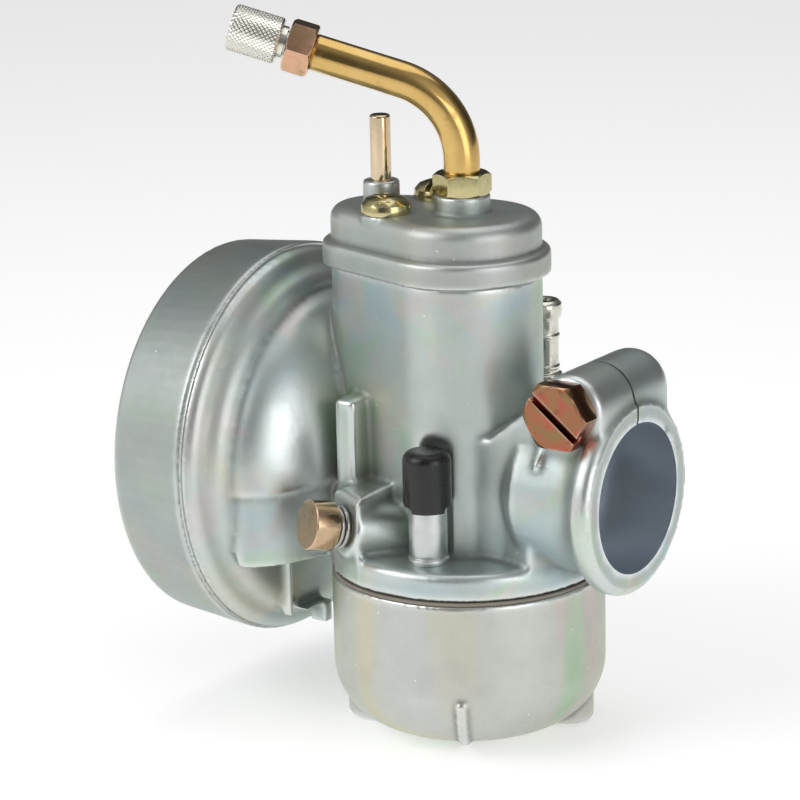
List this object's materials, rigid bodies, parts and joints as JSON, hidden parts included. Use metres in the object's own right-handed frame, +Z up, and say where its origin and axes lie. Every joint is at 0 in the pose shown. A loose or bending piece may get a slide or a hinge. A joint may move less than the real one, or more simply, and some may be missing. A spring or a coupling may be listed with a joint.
{
  "type": "slide carburetor",
  "caption": "Side-draught slide carburetor with intake cup, choke plunger, tickler, float bowl, cable elbow and a clamp spigot for the engine's inlet stub.",
  "frame": {"origin": "centre of the clamp spigot bore at its mouth", "axes": "+X out of the clamp spigot towards the engine, +Z up along the throttle slide, -Y the side with the tickler and the idle screw"},
  "size_m": [0.0796, 0.065, 0.1175],
  "materials": {
    "cast_body": "satin bead-blasted casting with a thin passivation film",
    "cast_bowl": "satin casting, warmer and more iridescent film",
    "cast_cover": "matt grey casting",
    "machined": "turned bright",
    "slide_metal": "bright plated",
    "brass": "polished",
    "yellow_zinc": "yellow passivated plating",
    "copper_zinc": "reddish iridescent passivated plating",
    "nickel": "pale nickel plating",
    "spring_steel": "bright wire",
    "steel": "ground",
    "gasket": "pressed gasket paper",
    "float_plastic": "moulded",
    "black_rubber": "soft moulded"
  },
  "bodies": {
    "carburettor": {"body": "cast_body", "intake_cup": "cast_body", "float_bowl": "cast_bowl", "bowl_gasket": "gasket", "bowl_screws": "steel", "bowl_washers": "steel", "top_cover": "cast_cover", "cover_screws": "yellow_zinc", "elbow_nut": "yellow_zinc", "slide_guide_pin": "steel", "throttle_spring": "spring_steel", "choke_spring": "spring_steel", "jet_holder": "brass", "needle_jet": "brass", "main_jet": "brass", "float_hinge_pin": "steel", "needle_seat": "brass", "fuel_inlet": "nickel", "idle_screw_spring": "spring_steel", "clamp_screw": "copper_zinc", "tickler_sleeve": "machined", "tickler_spring": "spring_steel"},
    "slide_assembly": {"throttle_slide": "slide_metal", "jet_needle": "machined", "needle_clip": "spring_steel", "needle_retainer": "steel"},
    "choke_assembly": {"choke_rod": "yellow_zinc", "choke_slide": "steel"},
    "tickler": {"tickler_pin": "steel", "tickler_cap": "black_rubber"},
    "float_assembly": {"bowl_float": "float_plastic", "float_arm": "brass"},
    "inlet_needle": {"float_needle": "brass"},
    "idle_adjuster": {"idle_screw": "copper_zinc"},
    "elbow_assembly": {"cable_elbow": "brass"},
    "adjuster": {"cable_adjuster": "nickel"},
    "locknut": {"adjuster_locknut": "copper_zinc"}
  },
  "joints": [
    {"name": "throttle_lift", "type": "slide", "parent": "carburettor", "child": "slide_assembly", "axis": [0, 0, 1], "range_m": [0, 0.015], "stiffness_N_per_m": 400, "springref_m": -0.02, "deforming": ["throttle_spring"]},
    {"name": "choke_press", "type": "slide", "parent": "carburettor", "child": "choke_assembly", "axis": [0, 0, -1], "range_m": [0, 0.01], "stiffness_N_per_m": 300, "springref_m": -0.01, "deforming": ["choke_spring"]},
    {"name": "tickler_press", "type": "slide", "parent": "carburettor", "child": "tickler", "axis": [0, 0, -1], "range_m": [0, 0.003], "stiffness_N_per_m": 300, "springref_m": -0.004, "deforming": ["tickler_spring"]},
    {"name": "float_swing", "type": "hinge", "parent": "carburettor", "child": "float_assembly", "pos_m": [-0.0278, 0.0174, -0.0185], "axis": [-1, 0, 0], "range_deg": [0, 8]},
    {"name": "float_needle_lift", "type": "slide", "parent": "carburettor", "child": "inlet_needle", "axis": [0, 0, 1], "range_m": [0, 0.00065]},
    {"name": "idle_screw_turn", "type": "hinge", "parent": "carburettor", "child": "idle_adjuster", "pos_m": [-0.0318, 0, -0.011], "axis": [-0.4904, -0.8458, 0.2102], "range_deg": [-720, 720]},
    {"name": "elbow_swivel", "type": "hinge", "parent": "carburettor", "child": "elbow_assembly", "pos_m": [-0.0318, 0, 0.046], "axis": [0, 0, 1], "range_deg": [-180, 180]},
    {"name": "adjuster_turn", "type": "hinge", "parent": "elbow_assembly", "child": "adjuster", "pos_m": [-0.05183, -0.0111, 0.0678], "axis": [-0.8328, -0.4616, 0.3057], "range_deg": [-720, 720]},
    {"name": "locknut_turn", "type": "hinge", "parent": "elbow_assembly", "child": "locknut", "pos_m": [-0.05183, -0.0111, 0.0678], "axis": [-0.8328, -0.4616, 0.3057], "range_deg": [-720, 720]}
  ],
  "couplings": [
    {"joint": "float_needle_lift", "follows": "float_swing", "m_per_rad": 0.0044}
  ]
}
